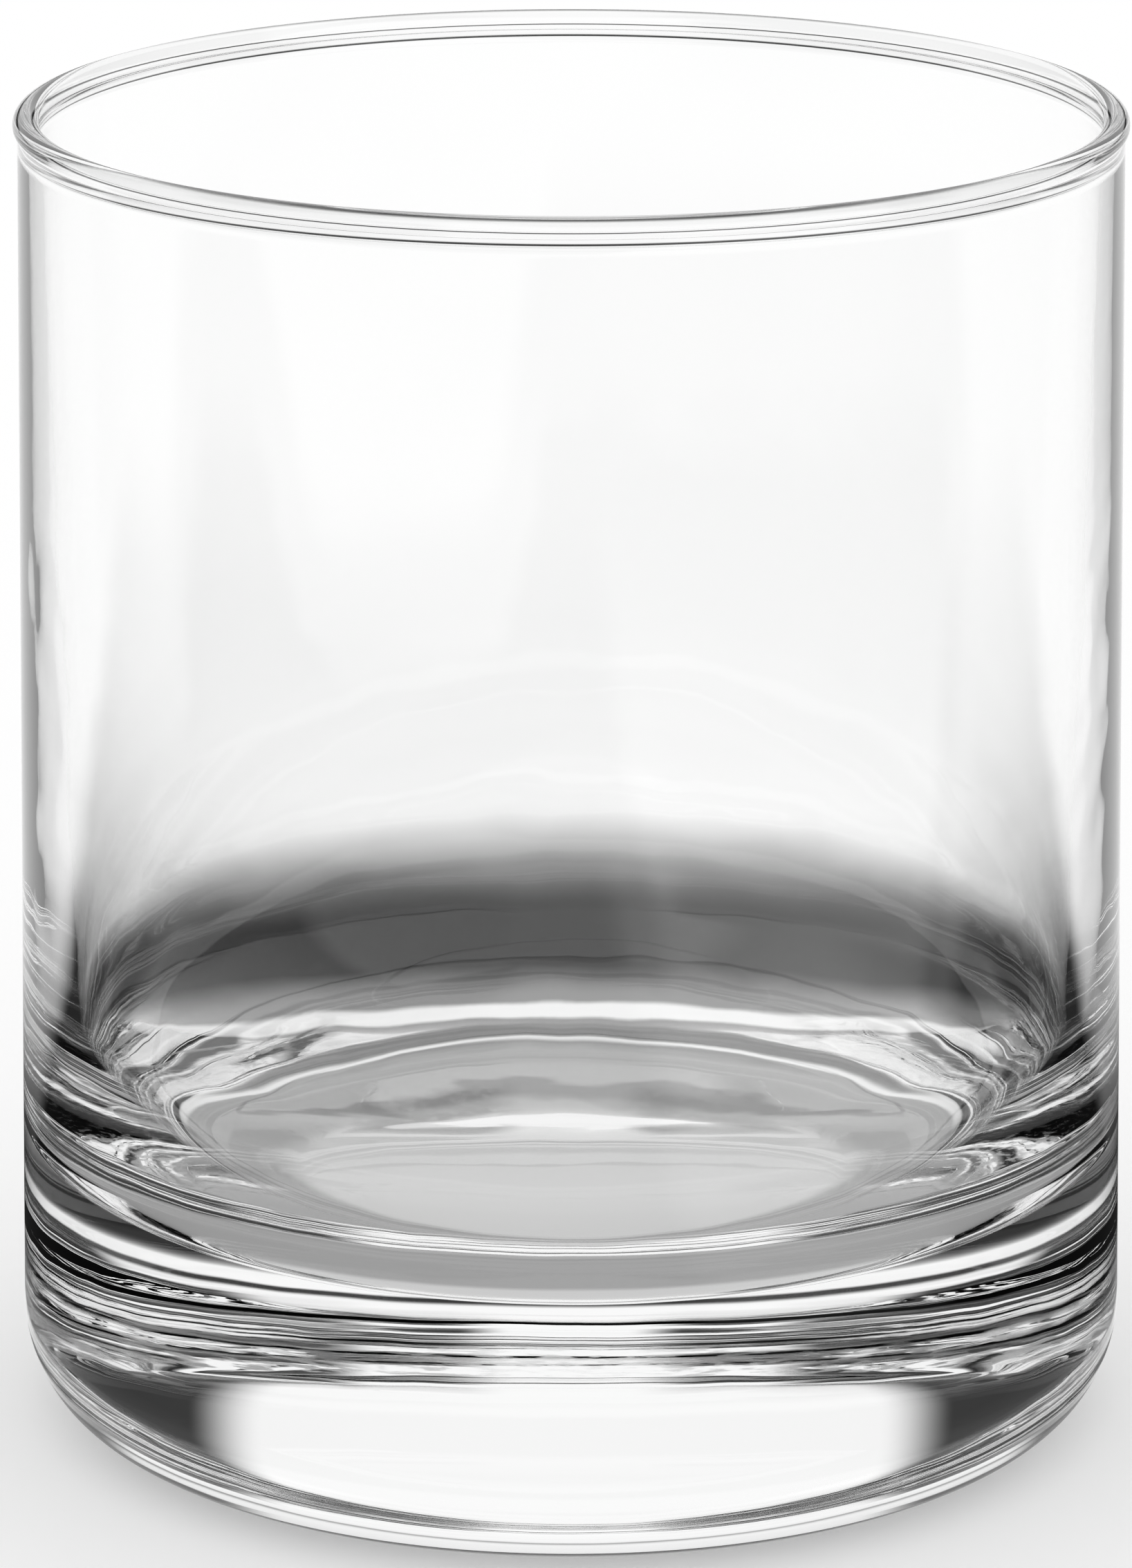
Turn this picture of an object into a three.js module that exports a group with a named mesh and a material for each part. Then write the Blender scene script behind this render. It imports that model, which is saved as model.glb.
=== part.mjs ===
// Double old fashioned tumbler: one body of clear glass, a turned wall on a thick solid base.
// Millimetres, +Z up, origin on the axis in the plane that the foot rests on.
import * as THREE from 'three';

// Outside of the body: the wall draws in a little from the heel to the mouth
const height = 103.6;
const mouthDiameter = 84.4;
const heelDiameter = 86.9;
const heelReach = 7.2;
const heelRise = 8.5;

// Bead at the mouth, a rounded lip a little thicker than the wall below it
const beadHeight = 1.8;
const beadThickness = 2;
const beadOverhang = 0.35;

// Inside of the body: the wall thickens downwards and turns into the floor in a tall round corner
const mouthWall = 1.4;
const footWall = 3.8;
const baseThickness = 18.8;
const innerCornerReach = 11.5;
const innerCornerRise = 17;

// Underside: a shallow hollow, with a flat ring round it that the glass stands on
const hollowDiameter = 50;
const hollowDepth = 0.8;

// Fineness of the turned surface
const segmentsRound = 96;
const stepsPerCurve = 5;

const mouthRadius = mouthDiameter / 2;
const heelRadius = heelDiameter / 2;
const ringOuterRadius = heelRadius - heelReach;
const hollowRadius = hollowDiameter / 2;
const mouthInnerRadius = mouthRadius - mouthWall;

// The bead's section is an ellipse. The wall's two faces run into it below its widest level.
const beadHalfHeight = beadHeight / 2;
const beadHalfThickness = beadThickness / 2;
const beadCentreRadius = mouthRadius + beadOverhang - beadHalfThickness;
const beadCentreHeight = height - beadHalfHeight;

// Angle, from the bead's widest point, at which its ellipse crosses a given radius
function beadAngleAt(radius) {
  return Math.acos((radius - beadCentreRadius) / beadHalfThickness);
}

// Radius of the outer wall at a level between the heel and the bead
function wallRadiusAt(level) {
  const wallTop = beadCentreHeight - beadHalfHeight * Math.sin(beadAngleAt(mouthRadius));
  return THREE.MathUtils.mapLinear(level, heelRise, wallTop, heelRadius, mouthRadius);
}

// Half section of the glass, from the axis under the base, round the outside and back to the axis
function glassSection() {
  const outerJoin = -beadAngleAt(mouthRadius);
  const beadTop = Math.PI / 2;
  const innerJoin = 2 * Math.PI - beadAngleAt(mouthInnerRadius);
  const cornerTop = baseThickness + innerCornerRise;
  const footInnerRadius = wallRadiusAt(cornerTop) - footWall;
  const floorRadius = footInnerRadius - innerCornerReach;
  const section = new THREE.Path();
  section.moveTo(0, hollowDepth);
  section.quadraticCurveTo(hollowRadius / 2, hollowDepth, hollowRadius, 0);
  section.lineTo(ringOuterRadius, 0);
  section.absellipse(ringOuterRadius, heelRise, heelReach, heelRise, -Math.PI / 2, 0);
  for (const [from, to] of [[outerJoin, beadTop], [beadTop, innerJoin]]) {
    section.absellipse(
      beadCentreRadius, beadCentreHeight, beadHalfThickness, beadHalfHeight, from, to
    );
  }
  section.lineTo(footInnerRadius, cornerTop);
  section.absellipse(
    floorRadius, cornerTop, innerCornerReach, innerCornerRise, 0, -Math.PI / 2, true
  );
  section.lineTo(0, baseThickness);
  return section.getPoints(stepsPerCurve);
}

function tumbler() {
  const geometry = new THREE.LatheGeometry(glassSection(), segmentsRound);
  geometry.rotateX(Math.PI / 2);
  const clearGlass = new THREE.MeshStandardMaterial({
    color: 0xf2f5f5, roughness: 0.03, metalness: 0, transparent: true, opacity: 0.35
  });
  const mesh = new THREE.Mesh(geometry, clearGlass);
  mesh.name = 'tumbler';
  return mesh;
}

const group = new THREE.Group();
group.add(tumbler());

export default group;
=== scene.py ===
"""A clear double old fashioned glass on a plain white studio floor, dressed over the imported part.

The glass is one revolved section: a heavy base with a shallow hollow under it, a round heel, a straight
wall that thins towards the mouth, and a fire-polished bead round the rim.
"""

import math

import bmesh
import bpy
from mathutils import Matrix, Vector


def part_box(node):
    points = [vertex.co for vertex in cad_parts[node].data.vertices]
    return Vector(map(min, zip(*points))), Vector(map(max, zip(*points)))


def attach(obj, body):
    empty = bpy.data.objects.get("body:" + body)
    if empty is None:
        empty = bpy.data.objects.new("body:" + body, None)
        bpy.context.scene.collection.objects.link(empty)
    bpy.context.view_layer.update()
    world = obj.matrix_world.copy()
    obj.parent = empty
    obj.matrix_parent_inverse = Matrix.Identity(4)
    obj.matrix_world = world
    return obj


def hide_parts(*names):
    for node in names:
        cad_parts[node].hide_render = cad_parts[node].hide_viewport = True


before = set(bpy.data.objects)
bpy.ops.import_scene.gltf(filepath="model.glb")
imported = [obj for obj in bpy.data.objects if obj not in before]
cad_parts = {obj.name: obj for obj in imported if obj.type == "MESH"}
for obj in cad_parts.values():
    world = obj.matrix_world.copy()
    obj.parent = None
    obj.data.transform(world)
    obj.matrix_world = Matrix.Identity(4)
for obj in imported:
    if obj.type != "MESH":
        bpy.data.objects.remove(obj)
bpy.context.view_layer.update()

bl_info = {
    "name": "Double Old Fashioned Glass",
    "version": (1, 0, 0),
    "blender": (4, 5, 0),
    "location": "3D View > Sidebar > Glass",
    "description": "Forms a heavy-based tumbler and sets it on a plain white studio floor",
    "category": "Add Mesh",
}

NODE = "tumbler"
FOOT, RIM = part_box(NODE)
MM = 0.001
SMALL = 1e-7


# Sizes and colours that a user would change


def length(name, description, default):
    """A length in metres, given in millimetres."""
    return bpy.props.FloatProperty(
        name=name, description=description, default=default * MM, min=0.0, unit="LENGTH", precision=5
    )


def share(name, description, default):
    """A share from none to all."""
    return bpy.props.FloatProperty(
        name=name, description=description, default=default, min=0.0, max=1.0, subtype="FACTOR"
    )


def angle(name, description, default):
    """An angle, given in degrees."""
    return bpy.props.FloatProperty(
        name=name, description=description, default=math.radians(default), subtype="ANGLE"
    )


class GlassSizes(bpy.types.PropertyGroup):
    """Sizes of the glass, each the input of the same name in its node tree."""

    height: length("Height", "From the table to the top of the rim", 103.6)
    bead_overhang: length("Bead Overhang", "How far the rim bead stands out past the wall", 0.35)
    mouth_radius: length("Mouth Radius", "Radius of the outer wall under the bead", 42.2)
    heel_radius: length("Heel Radius", "Radius of the outer wall at the top of the heel", 43.45)
    heel_reach: length("Heel Reach", "Width of the rounding between foot and wall", 7.2)
    heel_rise: length("Heel Rise", "Height of the rounding between foot and wall", 8.5)
    bead_height: length("Bead Height", "Height of the rim bead", 1.8)
    bead_thickness: length("Bead Thickness", "Thickness of the rim bead", 2.0)
    mouth_wall: length("Mouth Wall", "Thickness of the wall under the bead", 1.4)
    foot_wall: length("Foot Wall", "Thickness of the wall above the inner corner", 3.8)
    base_thickness: length("Base Thickness", "From the table to the inner floor", 18.8)
    corner_reach: length("Corner Reach", "Width of the rounding between inner floor and wall", 11.5)
    corner_rise: length("Corner Rise", "Height of the rounding between inner floor and wall", 17.0)
    hollow_radius: length("Hollow Radius", "Radius of the hollow under the base", 25.0)
    hollow_depth: length("Hollow Depth", "Depth of the hollow under the base", 0.8)
    swell: length("Swell", "Depth of the slow unevenness left by the mould on the inside", 0.06)
    base_swell: length("Base Swell", "Depth of the unevenness on the outside of the thick base", 0.03)


class GlassFinish(bpy.types.PropertyGroup):
    """Colour and finish of the glass."""

    clear: bpy.props.FloatVectorProperty(
        name="Clear", description="Colour of clean glass",
        default=(0.998, 0.999, 0.998), size=3, min=0.0, max=1.0, subtype="COLOR",
    )
    hazy: bpy.props.FloatVectorProperty(
        name="Hazy", description="Colour where the surface is a little dull",
        default=(0.988, 0.990, 0.989), size=3, min=0.0, max=1.0, subtype="COLOR",
    )
    refraction: bpy.props.FloatProperty(
        name="Refraction", description="Index of refraction of soda-lime glass", default=1.52, min=1.0, max=2.0
    )
    foot_wear: share("Foot Wear", "Roughness of the rubbed ring that the glass stands on", 0.12)
    wipe_marks: share("Wipe Marks", "Roughness of the faint marks left by wiping", 0.012)
    ripple: share("Ripple", "Strength of the fine ripple of pressed glass", 0.15)


class StudioSettings(bpy.types.PropertyGroup):
    """Floor, light and camera."""

    floor_colour: bpy.props.FloatVectorProperty(
        name="Floor Colour", description="Colour of the studio floor",
        default=(0.7, 0.7, 0.7), size=3, min=0.0, max=1.0, subtype="COLOR",
    )
    floor_size: length("Floor Size", "Radius of the studio floor", 8000)
    dark: share("Dark", "Brightness of the dark cards beside the glass", 0.045)
    camera_distance: length("Camera Distance", "From the middle of the glass to the camera, level", 562.7)
    camera_height: length("Camera Height", "From the floor to the camera", 211.6)
    camera_tilt: angle("Camera Tilt", "How far the camera looks down", 16.046)
    camera_turn: angle("Camera Turn", "How far the camera looks to the left", 0.0408)
    lens: bpy.props.FloatProperty(
        name="Lens", description="Focal length of the camera", default=171.76, min=1.0, unit="CAMERA"
    )


# Node trees written as expressions


class Wire:
    """An output socket that takes part in sums, each sum adding a Math node to its tree."""

    def __init__(self, nodes, socket):
        self.nodes = nodes
        self.socket = socket

    def other(self, output):
        """Another output of the same node."""
        return Wire(self.nodes, self.socket.node.outputs[output])

    def math(self, operation, *values):
        """This value through a Math node."""
        return self.nodes.math(operation, self, *values)

    def __add__(self, value):
        return self.math("ADD", value)

    def __radd__(self, value):
        return self.nodes.math("ADD", value, self)

    def __sub__(self, value):
        return self.math("SUBTRACT", value)

    def __rsub__(self, value):
        return self.nodes.math("SUBTRACT", value, self)

    def __mul__(self, value):
        return self.math("MULTIPLY", value)

    def __rmul__(self, value):
        return self.nodes.math("MULTIPLY", value, self)

    def __truediv__(self, value):
        return self.math("DIVIDE", value)

    def __rtruediv__(self, value):
        return self.nodes.math("DIVIDE", value, self)

    def __neg__(self):
        return self.nodes.math("MULTIPLY", self, -1.0)


class Nodes:
    """Adds nodes to one tree."""

    def __init__(self, tree):
        self.tree = tree

    def add(self, kind, settings=None, sockets=None, output=0):
        """A new node with its settings, then the values or links of its sockets."""
        node = self.tree.nodes.new(kind)
        for name, value in (settings or {}).items():
            setattr(node, name, value)
        for key, value in (sockets or {}).items():
            for one in value if isinstance(value, list) else [value]:
                if isinstance(one, Wire):
                    self.tree.links.new(one.socket, node.inputs[key])
                else:
                    node.inputs[key].default_value = one
        return Wire(self, node.outputs[output]) if node.outputs else node

    def math(self, operation, *values):
        """A Math node on numbers or wires."""
        return self.add("ShaderNodeMath", {"operation": operation}, dict(enumerate(values)))

    def point(self, x=0.0, y=0.0, z=0.0):
        """A vector from its three parts."""
        return self.add("ShaderNodeCombineXYZ", sockets={"X": x, "Y": y, "Z": z})

    def ramp(self, value, start, end, low=0.0, high=1.0):
        """A smooth change from low at start to high at end."""
        return self.add(
            "ShaderNodeMapRange",
            {"interpolation_type": "SMOOTHSTEP"},
            {"Value": value, "From Min": start, "From Max": end, "To Min": low, "To Max": high},
        )

    def noise(self, place, scale, detail=2.0):
        """Soft random values about one half."""
        return self.add("ShaderNodeTexNoise", sockets={"Vector": place, "Scale": scale, "Detail": detail})

    def mix_colour(self, factor, first, second):
        """The first colour, turning into the second."""
        return self.add("ShaderNodeMix", {"data_type": "RGBA"}, {0: factor, 6: first, 7: second}, 2)


# The glass

ROUND = 300
SWELL_SCALE = 90.0
BASE_SCALE = 110.0
ROWS = {
    "hollow": 22, "ring": 6, "heel": 36, "outer wall": 66, "bead": 52,
    "inner wall": 56, "corner": 52, "floor": 30,
}


class Section:
    """The closed outline of the wall, from the middle of the hollow round the rim to the middle of the floor."""

    def __init__(self, nodes, size):
        self.nodes = nodes
        self.pieces = []
        self.outline(size)

    def line(self, name, start, end):
        made = self.nodes.add(
            "GeometryNodeCurvePrimitiveLine",
            sockets={"Start": self.nodes.point(*start), "End": self.nodes.point(*end)},
        )
        spread = self.nodes.add("GeometryNodeResampleCurve", sockets={"Curve": made, "Count": ROWS[name]})
        self.pieces.append(spread)

    def bow(self, name, start, middle, end):
        made = self.nodes.add(
            "GeometryNodeCurveQuadraticBezier",
            sockets={
                "Resolution": ROWS[name],
                "Start": self.nodes.point(*start),
                "Middle": self.nodes.point(*middle),
                "End": self.nodes.point(*end),
            },
        )
        self.pieces.append(made)

    def oval(self, name, centre, half_width, half_height, start, sweep):
        """Part of an ellipse that stands upright."""
        made = self.nodes.add(
            "GeometryNodeCurveArc",
            {"mode": "RADIUS"},
            {"Resolution": ROWS[name], "Radius": 1.0, "Start Angle": start, "Sweep Angle": sweep},
        )
        upright = self.nodes.add(
            "GeometryNodeTransform",
            sockets={
                "Geometry": made,
                "Translation": self.nodes.point(*centre),
                "Rotation": (math.pi / 2, 0.0, 0.0),
                "Scale": self.nodes.point(half_width, half_height, 1.0),
            },
        )
        self.pieces.append(upright)

    def outline(self, size):
        quarter = math.pi / 2
        mouth = size["mouth_radius"]
        heel = size["heel_radius"]
        ring_outer = heel - size["heel_reach"]
        ring_inner = size["hollow_radius"]
        self.bow(
            "hollow",
            (0.0, 0.0, size["hollow_depth"]),
            (ring_inner / 2, 0.0, size["hollow_depth"]),
            (ring_inner, 0.0, 0.0),
        )
        self.line("ring", (ring_inner, 0.0, 0.0), (ring_outer, 0.0, 0.0))
        self.oval(
            "heel", (ring_outer, 0.0, size["heel_rise"]),
            size["heel_reach"], size["heel_rise"], -quarter, quarter,
        )

        bead_wide = size["bead_thickness"] / 2
        bead_high = size["bead_height"] / 2
        bead_radius = mouth + size["bead_overhang"] - bead_wide
        bead_level = size["height"] - bead_high
        mouth_inside = mouth - size["mouth_wall"]
        outer_join = ((mouth - bead_radius) / bead_wide).math("ARCCOSINE")
        inner_join = ((mouth_inside - bead_radius) / bead_wide).math("ARCCOSINE")
        outer_level = bead_level - bead_high * outer_join.math("SINE")
        inner_level = bead_level - bead_high * inner_join.math("SINE")
        self.line("outer wall", (heel, 0.0, size["heel_rise"]), (mouth, 0.0, outer_level))
        self.oval(
            "bead", (bead_radius, 0.0, bead_level), bead_wide, bead_high,
            -outer_join, 2 * math.pi - inner_join + outer_join,
        )

        corner_level = size["base_thickness"] + size["corner_rise"]
        way_up = (corner_level - size["heel_rise"]) / (outer_level - size["heel_rise"])
        foot_inside = heel + (mouth - heel) * way_up - size["foot_wall"]
        floor_edge = foot_inside - size["corner_reach"]
        self.line("inner wall", (mouth_inside, 0.0, inner_level), (foot_inside, 0.0, corner_level))
        self.oval(
            "corner", (floor_edge, 0.0, corner_level),
            size["corner_reach"], size["corner_rise"], 0.0, -quarter,
        )
        self.line("floor", (floor_edge, 0.0, size["base_thickness"]), (0.0, 0.0, size["base_thickness"]))

    def curve(self):
        """All stretches joined to one open curve."""
        joined = self.nodes.add("GeometryNodeJoinGeometry", sockets={"Geometry": self.pieces})
        edges = self.nodes.add("GeometryNodeCurveToMesh", sockets={"Curve": joined})
        whole = self.nodes.add("GeometryNodeMergeByDistance", sockets={"Geometry": edges, "Distance": SMALL})
        return self.nodes.add("GeometryNodeMeshToCurve", sockets={"Mesh": whole})


def glass_tree(material):
    """The node tree that turns the section once round the axis."""
    tree = bpy.data.node_groups.new("revolved_glass", "GeometryNodeTree")
    for attribute, declared in GlassSizes.__annotations__.items():
        socket = tree.interface.new_socket(
            declared.keywords["name"], in_out="INPUT", socket_type="NodeSocketFloat"
        )
        socket.subtype = "DISTANCE"
    tree.interface.new_socket("Geometry", in_out="OUTPUT", socket_type="NodeSocketGeometry")
    nodes = Nodes(tree)
    inputs = nodes.add("NodeGroupInput")
    size = {
        attribute: inputs.other(declared.keywords["name"])
        for attribute, declared in GlassSizes.__annotations__.items()
    }
    section = Section(nodes, size).curve()

    rows = nodes.add(
        "GeometryNodeAttributeDomainSize", {"component": "CURVE"}, {"Geometry": section}, "Point Count"
    )
    sheet = nodes.add(
        "GeometryNodeMeshGrid",
        sockets={"Size X": 1.0, "Size Y": 1.0, "Vertices X": ROUND + 1, "Vertices Y": rows},
    )
    index = nodes.add("GeometryNodeInputIndex")
    turn = (index / rows).math("FLOOR") * (2 * math.pi / ROUND)
    place = nodes.add(
        "GeometryNodeSampleIndex",
        {"data_type": "FLOAT_VECTOR", "domain": "POINT"},
        {
            "Geometry": section,
            "Value": nodes.add("GeometryNodeInputPosition"),
            "Index": index.math("FLOORED_MODULO", rows),
        },
    )
    out = nodes.add("ShaderNodeSeparateXYZ", sockets={0: place})
    radius = out.other("X")
    level = out.other("Z")
    turned = nodes.add(
        "GeometryNodeSetPosition",
        sockets={
            "Geometry": sheet,
            "Position": nodes.point(radius * turn.math("COSINE"), radius * turn.math("SINE"), level),
        },
    )
    closed = nodes.add("GeometryNodeMergeByDistance", sockets={"Geometry": turned, "Distance": SMALL})

    here = nodes.add("GeometryNodeInputPosition")
    part = nodes.add("ShaderNodeSeparateXYZ", sockets={0: here})
    across = (part.other("X").math("POWER", 2.0) + part.other("Y").math("POWER", 2.0)).math("SQRT")
    within = nodes.ramp(size["mouth_radius"] - across, size["mouth_wall"] * 0.6, size["mouth_wall"])
    above = nodes.ramp(part.other("Z"), size["base_thickness"] * 0.7, size["base_thickness"] * 0.8)
    below = nodes.ramp(part.other("Z"), size["height"] * 0.8, size["height"] * 0.6)
    inside = (nodes.noise(here, SWELL_SCALE) - 0.5) * 2.0 * size["swell"] * within * above * below
    low = nodes.ramp(part.other("Z"), size["base_thickness"] * 1.4, size["base_thickness"] * 0.9)
    off_ring = nodes.ramp(part.other("Z"), 0.0, size["hollow_depth"])
    outside = (nodes.noise(here, BASE_SCALE) - 0.5) * 2.0 * size["base_swell"]
    outside = outside * (1.0 - within) * low * off_ring
    swell = inside + outside
    uneven = nodes.add(
        "GeometryNodeSetPosition",
        sockets={
            "Geometry": closed,
            "Offset": nodes.add(
                "ShaderNodeVectorMath",
                {"operation": "SCALE"},
                {0: nodes.add("GeometryNodeInputNormal"), "Scale": swell},
            ),
        },
    )
    smooth = nodes.add("GeometryNodeSetShadeSmooth", sockets={"Geometry": uneven})
    real = nodes.add("GeometryNodeRealizeInstances", sockets={"Geometry": smooth})
    finished = nodes.add("GeometryNodeSetMaterial", sockets={"Geometry": real, "Material": material})
    nodes.add("NodeGroupOutput", sockets={"Geometry": finished})
    return tree


def glass_material(finish, sizes):
    """Clear glass with a fine ripple, faint wipe marks and a rubbed foot ring."""
    material = bpy.data.materials.new("clear_glass")
    material.use_nodes = True
    material.node_tree.nodes.clear()
    nodes = Nodes(material.node_tree)
    place = nodes.add("ShaderNodeTexCoord", output="Object")
    part = nodes.add("ShaderNodeSeparateXYZ", sockets={0: place})

    level = part.other("Z")
    across = (part.other("X").math("POWER", 2.0) + part.other("Y").math("POWER", 2.0)).math("SQRT")
    ring_outer = sizes.heel_radius - sizes.heel_reach
    ring_inner = sizes.hollow_radius
    past_hollow = nodes.ramp(across, ring_inner, ring_inner + 0.5 * MM)
    short_of_heel = nodes.ramp(across, ring_outer, ring_outer - 0.5 * MM)
    foot = nodes.ramp(level, 0.05 * MM, 0.01 * MM) * (past_hollow * short_of_heel)
    scuffs = nodes.ramp(nodes.noise(place, 900.0, 4.0), 0.42, 0.62)
    haze = nodes.ramp(nodes.noise(place, 38.0, 3.0), 0.45, 0.75)
    roughness = foot * scuffs * finish.foot_wear + haze * finish.wipe_marks
    colour = nodes.mix_colour(haze, (*finish.clear, 1.0), (*finish.hazy, 1.0))

    streak_place = nodes.add("ShaderNodeMapping", sockets={"Vector": place, "Scale": (1.0, 1.0, 0.3)})
    wavy = nodes.noise(streak_place, 260.0, 2.0) * nodes.ramp(level, 12 * MM, 20 * MM)
    bump = nodes.add(
        "ShaderNodeBump",
        sockets={"Strength": finish.ripple, "Distance": 0.02 * MM, "Height": wavy},
    )
    glass = nodes.add(
        "ShaderNodeBsdfPrincipled",
        sockets={
            "Base Color": colour,
            "Roughness": roughness,
            "IOR": finish.refraction,
            "Transmission Weight": 1.0,
            "Normal": bump,
        },
    )
    nodes.add("ShaderNodeOutputMaterial", sockets={"Surface": glass})
    return material


def revolved_mesh(tree, sizes):
    """The tree's result as a plain closed mesh with its faces outwards."""
    blank = bpy.data.meshes.new("blank")
    carrier = bpy.data.objects.new("carrier", blank)
    bpy.context.scene.collection.objects.link(carrier)
    modifier = carrier.modifiers.new("revolve", "NODES")
    modifier.node_group = tree
    named = {
        declared.keywords["name"]: attribute for attribute, declared in GlassSizes.__annotations__.items()
    }
    for item in tree.interface.items_tree:
        if item.in_out == "INPUT":
            modifier[item.identifier] = getattr(sizes, named[item.name])
    shaped = carrier.evaluated_get(bpy.context.evaluated_depsgraph_get())
    mesh = bpy.data.meshes.new_from_object(shaped)
    bpy.data.objects.remove(carrier)
    bpy.data.meshes.remove(blank)

    work = bmesh.new()
    work.from_mesh(mesh)
    bmesh.ops.remove_doubles(work, verts=work.verts, dist=SMALL)
    bmesh.ops.recalc_face_normals(work, faces=work.faces)
    open_edges = sum(not edge.is_manifold for edge in work.edges)
    work.to_mesh(mesh)
    work.free()
    if open_edges:
        raise RuntimeError(f"the glass has {open_edges} open edges")
    return mesh


class TUMBLER_OT_form(bpy.types.Operator):
    """Revolve the section of the glass and give it its finish"""

    bl_idname = "tumbler.form"
    bl_label = "Form Glass"

    def execute(self, context):
        sizes = context.scene.glass_sizes
        material = glass_material(context.scene.glass_finish, sizes)
        mesh = revolved_mesh(glass_tree(material), sizes)
        mesh.name = "glass_wall"
        glass = bpy.data.objects.new("glass_wall", mesh)
        context.scene.collection.objects.link(glass)
        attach(glass, "root")
        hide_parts(NODE)
        return {"FINISHED"}


# The stage

FLOOR_GAP = 0.3 * MM

# Half width of the long panel that runs from behind, over the glass and down in front, and of its soft side:
# first where it is low, then where it narrows overhead
STRIP = (0.37, 0.5)
STRIP_TOP = (0.12, 0.24)
STRIP_TURN = (54, 66)

# Other bright panels: azimuth of the middle, half width, softness of the sides, and least and greatest height
PANELS = ((0, 45, 5, 8, 13), (135, 24, 4, 9, 60), (180, 45, 10, 28, 56))
HORIZON = (2, 3.5)
LOWEST = (6, 9)

# Times that light may be turned back inside the thick base
BOUNCES = 12

# Open sides of the floor, where the painted shade round the foot gives way to white nearer the foot, and the
# fade of that painted shade there and elsewhere
OPEN = ((0, 66, 14), (135, 30, 12))
OPEN_FADE = (80, 150)
SHADED_FADE = (225, 300)

# Painted light and shade on the floor under and round the foot, which only the glass shows: where each change
# starts and ends, and the brightness after it
PAINTED_UNDER_LIGHT = 0.6
PAINTED_FOOT_RINGS = ((23, 27, 0.36), (42, 43, 0.9), (43.5, 45, 0.2), (46.5, 48, 1.0), (51, 53, 0.3), (54, 66, 0.0))


def through_glass(nodes):
    """One for rays that come by way of the glass, and none for the camera's own."""
    kind = nodes.add("ShaderNodeLightPath", output="Is Glossy Ray")
    return kind.math("MAXIMUM", kind.other("Is Transmission Ray"))


def facing(nodes, x, y, middle, half_width, soft):
    """One inside the sector round an azimuth, which is counted from behind the glass towards its right."""
    level = (x * x + y * y).math("SQRT") + SMALL
    cosine = (x * math.sin(math.radians(middle)) + y * math.cos(math.radians(middle))) / level
    outside = math.cos(math.radians(half_width + soft))
    return nodes.ramp(cosine, outside, math.cos(math.radians(half_width - soft)))


def floor_material(studio):
    """Pale floor, with painted light and painted shade round the foot that only the glass shows: light and dark
    rings under the foot, and shade that fades to white further out.
    """
    material = bpy.data.materials.new("studio_floor")
    material.use_nodes = True
    material.node_tree.nodes.clear()
    nodes = Nodes(material.node_tree)
    place = nodes.add("ShaderNodeTexCoord", output="Object")
    part = nodes.add("ShaderNodeSeparateXYZ", sockets={0: place})
    x = part.other("X")
    y = part.other("Y")
    distance = (x * x + y * y).math("SQRT")

    # Painted shade round the foot: through the glass, the floor is at half the brightness of the dark cards near
    # the foot and fades to white further out, sooner on the open sides
    clear = 0.0
    for middle, half, soft in OPEN:
        clear = facing(nodes, x, y, middle, half, soft).math("MAXIMUM", clear)
    near, far = ((shaded + clear * (opened - shaded)) * MM for opened, shaded in zip(OPEN_FADE, SHADED_FADE))
    bright = nodes.ramp(distance, near, far, studio.dark / 2, 1.0)
    # Painted light under the foot, then painted light and dark rings round it
    level = PAINTED_UNDER_LIGHT
    under = level
    for start, end, following in PAINTED_FOOT_RINGS:
        under = nodes.ramp(distance, start * MM, end * MM, 0.0, following - level) + under
        level = following
    # The painted light and shade, an emission that only rays through the glass see
    painted_light_and_shade = nodes.add("ShaderNodeEmission", sockets={"Strength": bright.math("MAXIMUM", under)})
    matt = nodes.add("ShaderNodeBsdfDiffuse", sockets={"Color": (*studio.floor_colour, 1.0)})
    camera = nodes.add("ShaderNodeLightPath", output="Is Camera Ray")
    lift = nodes.add("ShaderNodeEmission", sockets={"Strength": camera * (1.0 - studio.floor_colour[0])})
    lit = nodes.add("ShaderNodeAddShader", sockets={0: matt, 1: lift})
    mixed = nodes.add("ShaderNodeMixShader", sockets={0: through_glass(nodes), 1: lit, 2: painted_light_and_shade})
    nodes.add("ShaderNodeOutputMaterial", sockets={"Surface": mixed})
    return material


def studio_floor(studio):
    """A wide round floor just under the foot."""
    mesh = bpy.data.meshes.new("studio_floor")
    work = bmesh.new()
    bmesh.ops.create_circle(work, cap_ends=True, segments=96, radius=studio.floor_size)
    bmesh.ops.translate(work, verts=work.verts, vec=(0.0, 0.0, FOOT.z - FLOOR_GAP))
    work.to_mesh(mesh)
    work.free()
    mesh.materials.append(floor_material(studio))
    floor = bpy.data.objects.new("studio_floor", mesh)
    bpy.context.scene.collection.objects.link(floor)


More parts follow.
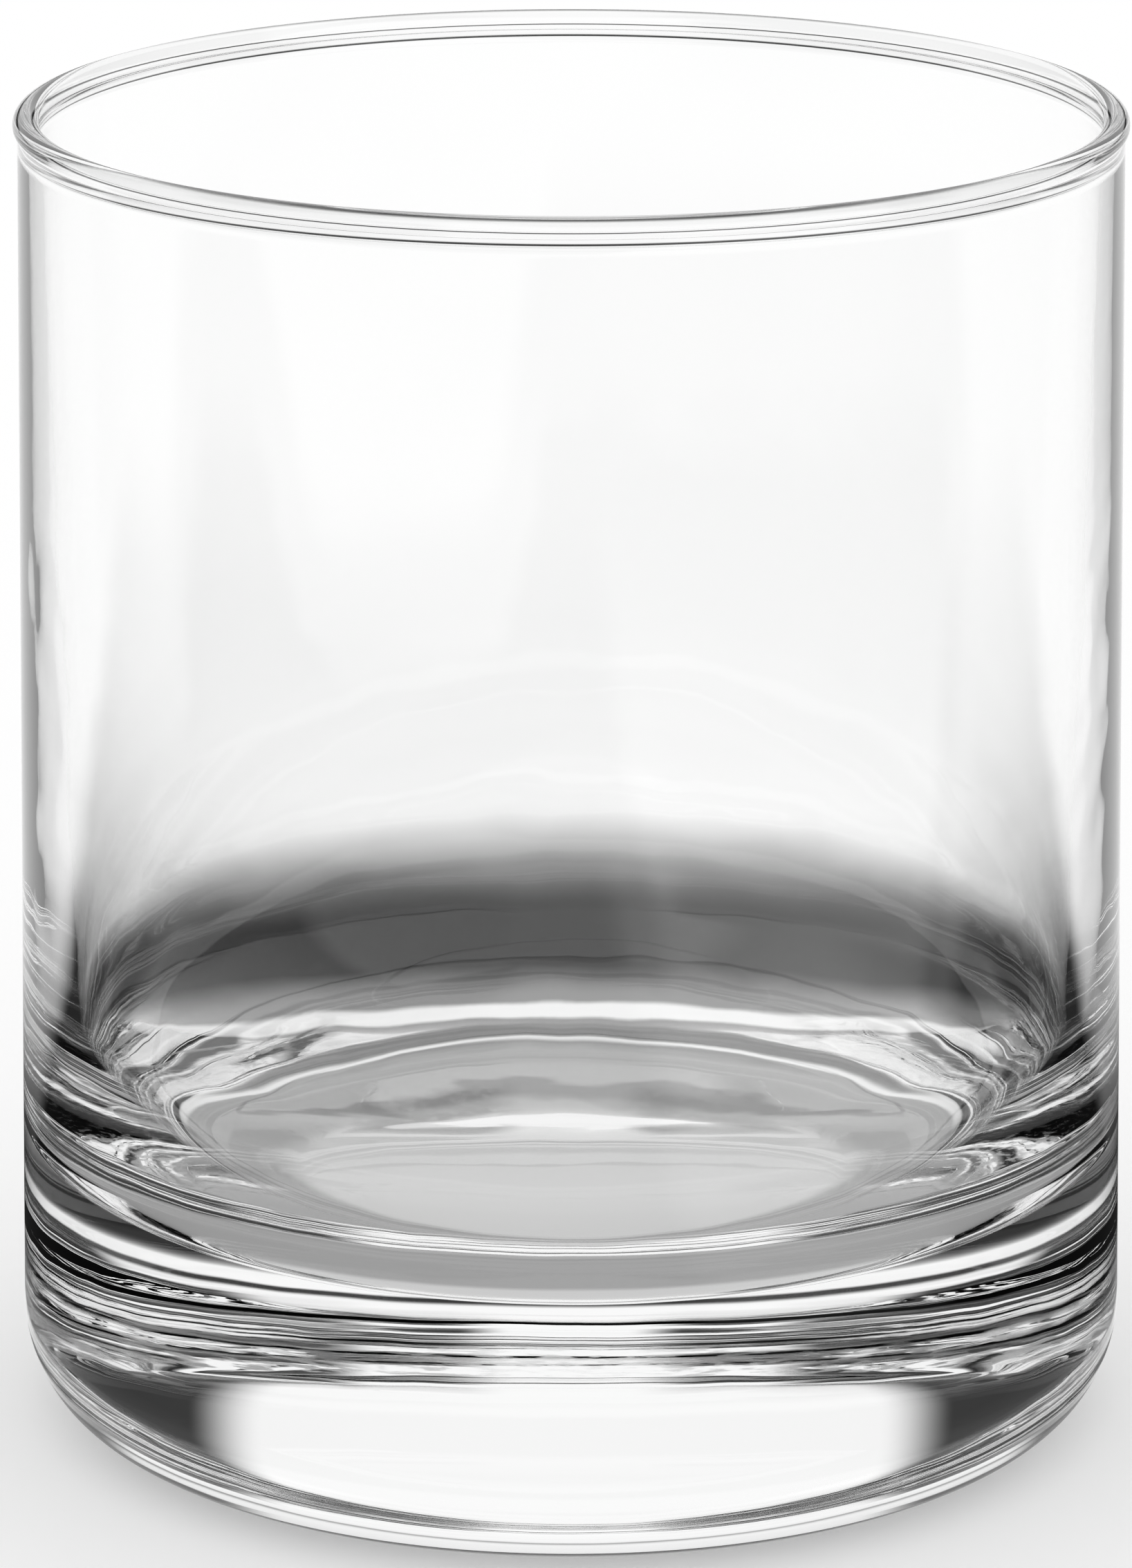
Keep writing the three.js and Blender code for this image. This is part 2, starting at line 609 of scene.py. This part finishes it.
def studio_sky(studio):
    """White light from all round, in which the glass also shows dark cards between bright panels."""
    world = bpy.data.worlds.new("studio_light")
    bpy.context.scene.world = world
    world.use_nodes = True
    world.node_tree.nodes.clear()
    nodes = Nodes(world.node_tree)
    aim = nodes.add("ShaderNodeTexCoord", output="Generated")
    part = nodes.add("ShaderNodeSeparateXYZ", sockets={0: aim})
    x = part.other("X")
    y = part.other("Y")
    lift = part.other("Z").math("ARCSINE")
    edge = math.radians(3)
    aside = x.math("ABSOLUTE")
    high = nodes.ramp(lift, *map(math.radians, STRIP_TURN))
    strip = nodes.ramp(aside, *reversed(STRIP)) * (1.0 - high) + nodes.ramp(aside, *reversed(STRIP_TOP)) * high
    strip = strip * nodes.ramp(lift, *map(math.radians, LOWEST))
    bright = nodes.ramp(lift, *map(math.radians, reversed(HORIZON))).math("MAXIMUM", strip)
    for middle, half, soft, low, high in PANELS:
        above = nodes.ramp(lift, math.radians(low) - edge, math.radians(low))
        below = nodes.ramp(lift, math.radians(high) + edge, math.radians(high))
        panel = facing(nodes, x, y, middle, half, soft) * above * below
        bright = bright.math("MAXIMUM", panel)
    shown = studio.dark + bright * (1.0 - studio.dark)
    strength = 1.0 - through_glass(nodes) * (1.0 - shown)
    light = nodes.add("ShaderNodeBackground", sockets={"Color": (1.0, 1.0, 1.0, 1.0), "Strength": strength})
    nodes.add("ShaderNodeOutputWorld", sockets={"Surface": light})


def studio_camera(studio):
    """The camera, a little above the rim and looking down on it."""
    data = bpy.data.cameras.new("studio_camera")
    data.sensor_width = 36.0
    data.lens = studio.lens
    data.clip_end = 100.0
    camera = bpy.data.objects.new("studio_camera", data)
    camera.location = (0.0, -studio.camera_distance, studio.camera_height)
    camera.rotation_euler = (math.pi / 2 - studio.camera_tilt, 0.0, studio.camera_turn)
    bpy.context.scene.collection.objects.link(camera)
    bpy.context.scene.camera = camera


class TUMBLER_OT_stage(bpy.types.Operator):
    """Lay the floor, set the light and place the camera"""

    bl_idname = "tumbler.stage"
    bl_label = "Set Stage"

    def execute(self, context):
        studio = context.scene.studio_settings
        studio_floor(studio)
        studio_sky(studio)
        studio_camera(studio)
        context.scene.view_settings.view_transform = "Standard"
        context.scene.cycles.glossy_bounces = BOUNCES
        return {"FINISHED"}


class TUMBLER_PT_panel(bpy.types.Panel):
    """Sizes, finish and stage of the glass"""

    bl_label = "Glass"
    bl_idname = "TUMBLER_PT_panel"
    bl_space_type = "VIEW_3D"
    bl_region_type = "UI"
    bl_category = "Glass"

    def draw(self, context):
        for group in (context.scene.glass_sizes, context.scene.glass_finish, context.scene.studio_settings):
            box = self.layout.box()
            for attribute in type(group).__annotations__:
                box.prop(group, attribute)
        self.layout.operator(TUMBLER_OT_form.bl_idname)
        self.layout.operator(TUMBLER_OT_stage.bl_idname)


CLASSES = (GlassSizes, GlassFinish, StudioSettings, TUMBLER_OT_form, TUMBLER_OT_stage, TUMBLER_PT_panel)
SETTINGS = {"glass_sizes": GlassSizes, "glass_finish": GlassFinish, "studio_settings": StudioSettings}


def register():
    for each in CLASSES:
        bpy.utils.register_class(each)
    for name, group in SETTINGS.items():
        setattr(bpy.types.Scene, name, bpy.props.PointerProperty(type=group))


def unregister():
    for name in SETTINGS:
        delattr(bpy.types.Scene, name)
    for each in reversed(CLASSES):
        bpy.utils.unregister_class(each)


def main():
    register()
    bpy.ops.tumbler.form()
    bpy.ops.tumbler.stage()


if __name__ == "__main__":
    main()
